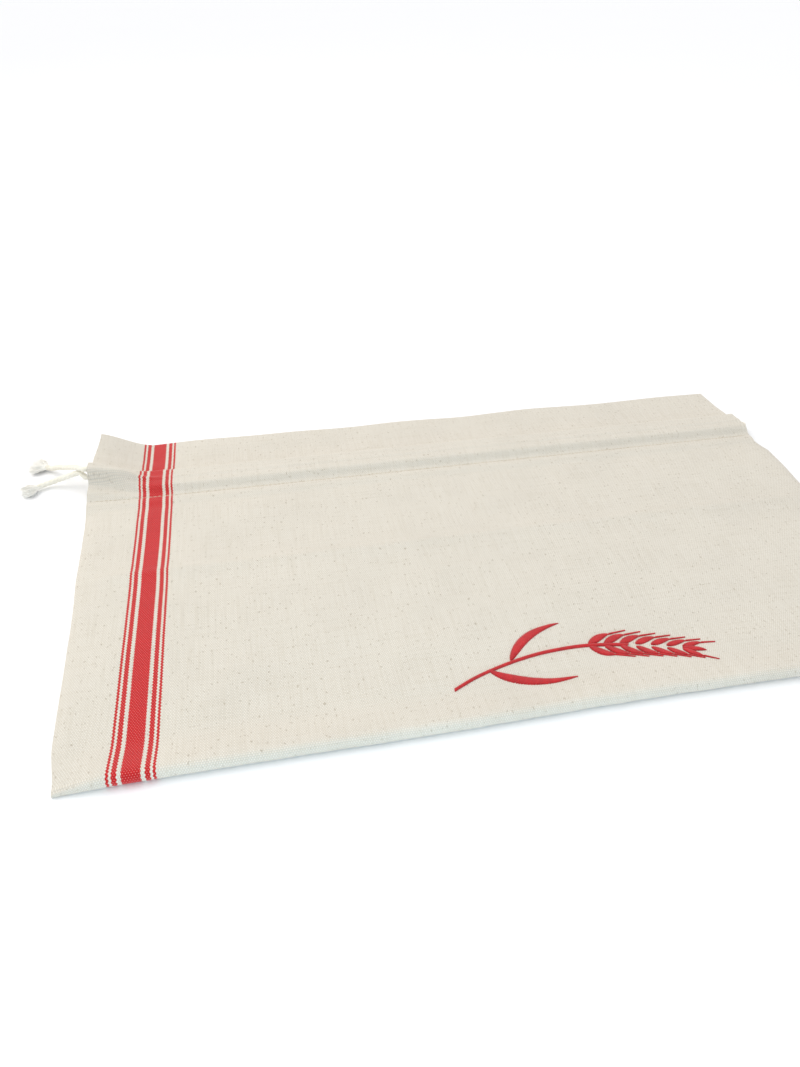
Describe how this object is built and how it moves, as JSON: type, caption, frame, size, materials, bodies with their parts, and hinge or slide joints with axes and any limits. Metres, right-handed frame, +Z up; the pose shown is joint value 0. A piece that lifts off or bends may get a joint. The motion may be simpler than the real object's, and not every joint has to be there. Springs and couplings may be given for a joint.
{
  "type": "linen bread bag with a drawstring",
  "caption": "Flat linen bread bag lying empty, folded at the bottom, with a drawstring tunnel below a short heading and two frayed cord ends at one slit.",
  "frame": {"origin": "on the surface the bag lies on, under the middle of its cloth", "axes": "+X along the bottom fold towards the side without the cord ends, +Y from the bottom fold to the mouth, +Z up from the surface"},
  "size_m": [0.5639, 0.2998, 0.0228],
  "materials": {
    "linen": "plain woven natural linen with a red woven stripe group near one side and red embroidery",
    "cotton_cord": "twisted undyed cotton cord",
    "embroidery_thread": "satin stitches of red cotton thread, on the bag's front"
  },
  "bodies": {
    "root": {"bag_body": "linen", "drawcord_run": "cotton_cord", "cord_end_far": "cotton_cord", "cord_end_near": "cotton_cord", "tuft_far": "cotton_cord", "tuft_near": "cotton_cord"}
  },
  "joints": []
}
